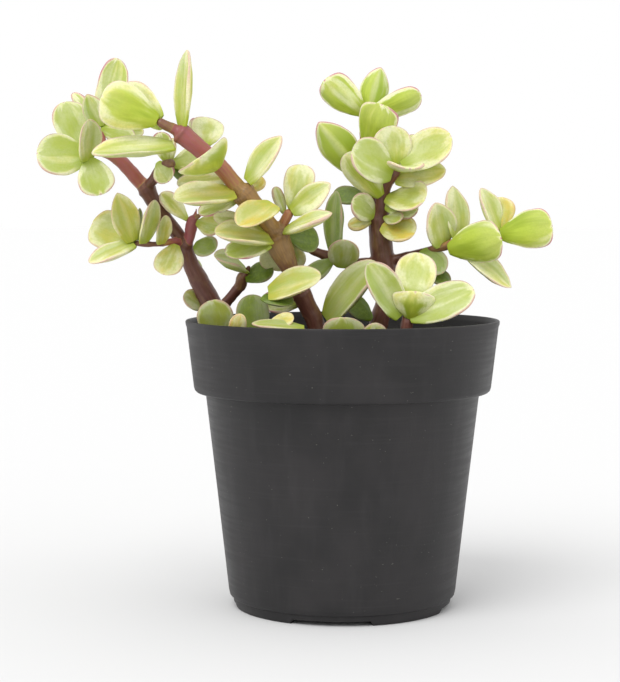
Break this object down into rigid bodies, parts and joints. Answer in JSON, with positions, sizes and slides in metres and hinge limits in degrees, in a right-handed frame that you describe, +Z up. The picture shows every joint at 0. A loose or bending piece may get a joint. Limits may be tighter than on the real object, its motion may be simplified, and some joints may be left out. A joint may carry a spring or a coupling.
{
  "type": "potted elephant bush",
  "caption": "Variegated elephant bush with leaning woody stems and fleshy leaves, growing in a round black nursery pot.",
  "frame": {"origin": "on the surface the pot stands on, under the middle of the whole plant's box; the pot's own axis stands 16.0 mm from it towards +X", "axes": "+Z up, -Y the front, +X to the right as seen from the front"},
  "size_m": [0.17, 0.105, 0.1836],
  "materials": {
    "pot_plastic": "moulded, matt, scuffed",
    "peat_soil": "coarse and matt",
    "stem_bark": "satin, with rings at the nodes",
    "leaf_flesh": "waxy satin, cream margins and green middles"
  },
  "bodies": {
    "root": {"leaf_front_1": "leaf_flesh", "leaf_front_2": "leaf_flesh", "leaf_front_3": "leaf_flesh", "leaf_front_4": "leaf_flesh", "leaf_front_5": "leaf_flesh", "leaf_left_stem_1": "leaf_flesh", "leaf_left_stem_2": "leaf_flesh", "leaf_left_stem_3": "leaf_flesh", "leaf_left_stem_4": "leaf_flesh", "leaf_left_stem_5": "leaf_flesh", "leaf_left_tip_1": "leaf_flesh", "leaf_left_tip_2": "leaf_flesh", "leaf_left_tip_3": "leaf_flesh", "leaf_left_tip_4": "leaf_flesh", "leaf_left_tip_5": "leaf_flesh", "leaf_left_tip_6": "leaf_flesh", "leaf_left_twig_1": "leaf_flesh", "leaf_left_twig_2": "leaf_flesh", "leaf_left_twig_3": "leaf_flesh", "leaf_left_twig_4": "leaf_flesh", "leaf_left_twig_5": "leaf_flesh", "leaf_middle_stem_1": "leaf_flesh", "leaf_middle_stem_10": "leaf_flesh", "leaf_middle_stem_2": "leaf_flesh", "leaf_middle_stem_3": "leaf_flesh", "leaf_middle_stem_4": "leaf_flesh", "leaf_middle_stem_5": "leaf_flesh", "leaf_middle_stem_6": "leaf_flesh", "leaf_middle_stem_7": "leaf_flesh", "leaf_middle_stem_8": "leaf_flesh", "leaf_middle_stem_9": "leaf_flesh", "leaf_middle_tip_1": "leaf_flesh", "leaf_middle_tip_2": "leaf_flesh", "leaf_middle_tip_3": "leaf_flesh", "leaf_middle_tip_4": "leaf_flesh", "leaf_right_crown_1": "leaf_flesh", "leaf_right_crown_2": "leaf_flesh", "leaf_right_crown_3": "leaf_flesh", "leaf_right_crown_4": "leaf_flesh", "leaf_right_crown_5": "leaf_flesh", "leaf_right_crown_6": "leaf_flesh", "leaf_right_crown_7": "leaf_flesh", "leaf_right_top_1": "leaf_flesh", "leaf_right_top_2": "leaf_flesh", "leaf_right_top_3": "leaf_flesh", "leaf_right_top_4": "leaf_flesh", "leaf_right_top_5": "leaf_flesh", "leaf_right_twig_1": "leaf_flesh", "leaf_right_twig_2": "leaf_flesh", "leaf_right_twig_3": "leaf_flesh", "leaf_right_twig_4": "leaf_flesh", "leaf_right_twig_5": "leaf_flesh", "leaf_right_twig_6": "leaf_flesh", "leaf_right_twig_7": "leaf_flesh", "pot": "pot_plastic", "shoot_front": "stem_bark", "soil": "peat_soil", "stem_left": "stem_bark", "stem_middle": "stem_bark", "stem_right": "stem_bark"}
  },
  "joints": []
}
